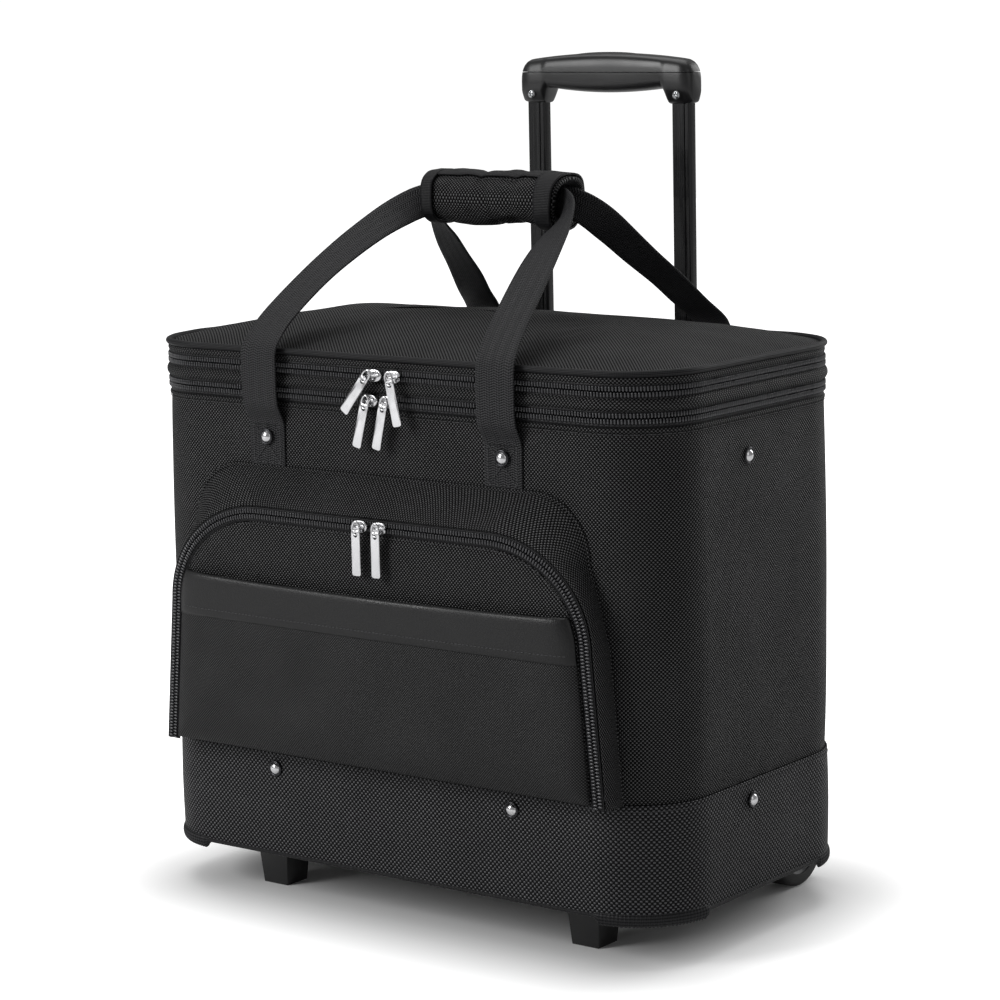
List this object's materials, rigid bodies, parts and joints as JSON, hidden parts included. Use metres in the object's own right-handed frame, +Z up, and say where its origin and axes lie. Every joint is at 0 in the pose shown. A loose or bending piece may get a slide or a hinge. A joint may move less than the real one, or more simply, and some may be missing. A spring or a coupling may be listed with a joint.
{
  "type": "pilot flight case",
  "caption": "Soft-sided rolling pilot case with double-zip lids, padded carry handles, a zipped front pocket and a telescopic trolley handle.",
  "frame": {"origin": "on the ground, under the middle of the whole case's box", "axes": "+Z up along the trolley tubes, -Y towards the pocket side, +X to the right as seen from the pocket side"},
  "size_m": [0.4592, 0.3136, 0.597],
  "materials": {
    "ballistic_nylon": "woven, slightly coarse",
    "lining_cloth": "smooth plain weave",
    "hardboard": "pressed board",
    "band_weave": "coarse coated weave",
    "edge_binding": "ribbed tape",
    "webbing": "ribbed webbing",
    "grip_cloth": "padded woven cloth",
    "slip_cloth": "satin weave",
    "leatherette": "fine pebbled, semi-matt",
    "zip_coil": "moulded coil on tape",
    "moulded_plastic": "fine moulded grain",
    "gloss_plastic": "polished",
    "wheel_plastic": "moulded",
    "wheel_rubber": "worn smooth",
    "anodised_tube": "gloss black anodised",
    "steel": "zinc plated",
    "chrome": "polished nickel plate"
  },
  "bodies": {
    "bag": {"outer_cover": "ballistic_nylon", "lining": "lining_cloth", "base_board": "hardboard", "base_pan": "moulded_plastic", "skirt_band": "band_weave", "bottom_binding": "edge_binding", "front_feet": "moulded_plastic", "base_screws": "steel", "wheel_housings": "moulded_plastic", "wheel_axles": "steel", "trolley_sleeve": "ballistic_nylon", "trolley_outer_tubes": "anodised_tube", "trolley_top_bezel": "moulded_plastic", "trolley_base_bracket": "moulded_plastic", "lower_zip_body_half": "zip_coil", "front_strap_tails": "webbing", "back_strap_tails": "webbing", "dome_rivets": "chrome", "pocket_gusset": "ballistic_nylon", "pocket_zip_outer_half": "zip_coil"},
    "wheel_left": {"wheel_left_tyre": "wheel_rubber", "wheel_left_hub": "wheel_plastic"},
    "wheel_right": {"wheel_right_tyre": "wheel_rubber", "wheel_right_hub": "wheel_plastic"},
    "trolley_middle": {"trolley_middle_tubes": "anodised_tube", "middle_tube_bushes": "moulded_plastic"},
    "trolley_inner": {"trolley_inner_tubes": "anodised_tube", "inner_tube_bushes": "moulded_plastic", "grip_lower_shell": "moulded_plastic", "grip_upper_shell": "moulded_plastic", "grip_screws": "steel", "button_spring": "steel"},
    "release": {"release_button": "gloss_plastic", "release_rods": "steel"},
    "lid_top": {"lid_top_panel": "ballistic_nylon", "lid_piping": "edge_binding", "upper_zip_lid_half": "zip_coil"},
    "lid_tray": {"tray_wall": "ballistic_nylon", "tray_floor": "lining_cloth", "tray_zip_halves": "zip_coil"},
    "handle_front": {"front_handle_webbing": "webbing", "grip_wrap": "grip_cloth"},
    "handle_back": {"back_handle_webbing": "webbing"},
    "pocket_flap": {"pocket_panel": "ballistic_nylon", "pocket_zip_inner_half": "zip_coil", "slip_pocket_panel": "slip_cloth", "trim_band": "leatherette"},
    "slider_upper_left": {"slider_upper_left": "chrome"},
    "puller_upper_left": {"puller_upper_left": "chrome"},
    "slider_upper_right": {"slider_upper_right": "chrome"},
    "puller_upper_right": {"puller_upper_right": "chrome"},
    "slider_lower_left": {"slider_lower_left": "chrome"},
    "puller_lower_left": {"puller_lower_left": "chrome"},
    "slider_lower_right": {"slider_lower_right": "chrome"},
    "puller_lower_right": {"puller_lower_right": "chrome"},
    "slider_pocket_left": {"slider_pocket_left": "chrome"},
    "puller_pocket_left": {"puller_pocket_left": "chrome"},
    "slider_pocket_right": {"slider_pocket_right": "chrome"},
    "puller_pocket_right": {"puller_pocket_right": "chrome"}
  },
  "joints": [
    {"name": "wheel_left_spin", "type": "hinge", "parent": "bag", "child": "wheel_left", "pos_m": [-0.175, 0.1068, 0.032], "axis": [1, 0, 0], "continuous": true},
    {"name": "wheel_right_spin", "type": "hinge", "parent": "bag", "child": "wheel_right", "pos_m": [0.175, 0.1068, 0.032], "axis": [1, 0, 0], "continuous": true},
    {"name": "trolley_middle_slide", "type": "slide", "parent": "bag", "child": "trolley_middle", "axis": [0, 0, 1], "range_m": [0, 0.25]},
    {"name": "trolley_inner_slide", "type": "slide", "parent": "trolley_middle", "child": "trolley_inner", "axis": [0, 0, 1], "range_m": [-0.16, 0.09]},
    {"name": "release_press", "type": "slide", "parent": "trolley_inner", "child": "release", "axis": [0, 0, -1], "range_m": [0, 0.0035], "stiffness_N_per_m": 400, "springref_m": -0.004, "deforming": ["button_spring"]},
    {"name": "lid_open", "type": "hinge", "parent": "bag", "child": "lid_top", "pos_m": [0, 0.1158, 0.3875], "axis": [-1, 0, 0], "range_deg": [0, 78]},
    {"name": "tray_open", "type": "hinge", "parent": "bag", "child": "lid_tray", "pos_m": [0, 0.1158, 0.3875], "axis": [-1, 0, 0], "range_deg": [0, 43]},
    {"name": "front_handle_fold", "type": "hinge", "parent": "bag", "child": "handle_front", "pos_m": [0, -0.1387, 0.402], "axis": [1, 0, 0], "range_deg": [0, 216], "deforming": ["front_handle_webbing"]},
    {"name": "back_handle_fold", "type": "hinge", "parent": "bag", "child": "handle_back", "pos_m": [0, 0.1233, 0.38], "axis": [-1, 0, 0], "range_deg": [0, 47], "deforming": ["back_handle_webbing"]},
    {"name": "pocket_open", "type": "hinge", "parent": "bag", "child": "pocket_flap", "pos_m": [0, -0.1487, 0.1165], "axis": [-1, 0, 0], "range_deg": [-50, 0]},
    {"name": "slider_upper_left_run", "type": "slide", "parent": "lid_tray", "child": "slider_upper_left", "axis": [1, 0, 0], "range_m": [-0.05, 0]},
    {"name": "puller_upper_left_lift", "type": "hinge", "parent": "slider_upper_left", "child": "puller_upper_left", "pos_m": [-0.0035, -0.1402, 0.3905], "axis": [-0.788, 0, 0.6157], "range_deg": [0, 150]},
    {"name": "slider_upper_right_run", "type": "slide", "parent": "lid_tray", "child": "slider_upper_right", "axis": [1, 0, 0], "range_m": [0, 0.05]},
    {"name": "puller_upper_right_lift", "type": "hinge", "parent": "slider_upper_right", "child": "puller_upper_right", "pos_m": [0.0135, -0.1402, 0.3905], "axis": [-0.9781, 0, -0.2079], "range_deg": [0, 150]},
    {"name": "slider_lower_left_run", "type": "slide", "parent": "bag", "child": "slider_lower_left", "axis": [1, 0, 0], "range_m": [-0.05, 0]},
    {"name": "puller_lower_left_lift", "type": "hinge", "parent": "slider_lower_left", "child": "puller_lower_left", "pos_m": [-0.0075, -0.1383, 0.373], "axis": [-0.9659, 0, 0.2588], "range_deg": [0, 110]},
    {"name": "slider_lower_right_run", "type": "slide", "parent": "bag", "child": "slider_lower_right", "axis": [1, 0, 0], "range_m": [0, 0.05]},
    {"name": "puller_lower_right_lift", "type": "hinge", "parent": "slider_lower_right", "child": "puller_lower_right", "pos_m": [0.0085, -0.1383, 0.373], "axis": [-0.9744, 0, 0.225], "range_deg": [0, 110]},
    {"name": "slider_pocket_left_run", "type": "slide", "parent": "pocket_flap", "child": "slider_pocket_left", "axis": [1, 0, 0], "range_m": [-0.05, 0]},
    {"name": "puller_pocket_left_lift", "type": "hinge", "parent": "slider_pocket_left", "child": "puller_pocket_left", "pos_m": [-0.005, -0.1561, 0.289], "axis": [-1, 0, 0], "range_deg": [0, 150]},
    {"name": "slider_pocket_right_run", "type": "slide", "parent": "pocket_flap", "child": "slider_pocket_right", "axis": [1, 0, 0], "range_m": [0, 0.05]},
    {"name": "puller_pocket_right_lift", "type": "hinge", "parent": "slider_pocket_right", "child": "puller_pocket_right", "pos_m": [0.012, -0.1561, 0.289], "axis": [-1, 0, 0], "range_deg": [0, 150]}
  ],
  "couplings": [
    {"joint": "tray_open", "follows": "lid_open", "ratio": 0.55},
    {"joint": "front_handle_fold", "follows": "lid_open", "ratio": 2.756},
    {"joint": "back_handle_fold", "follows": "lid_open", "ratio": 0.59}
  ]
}
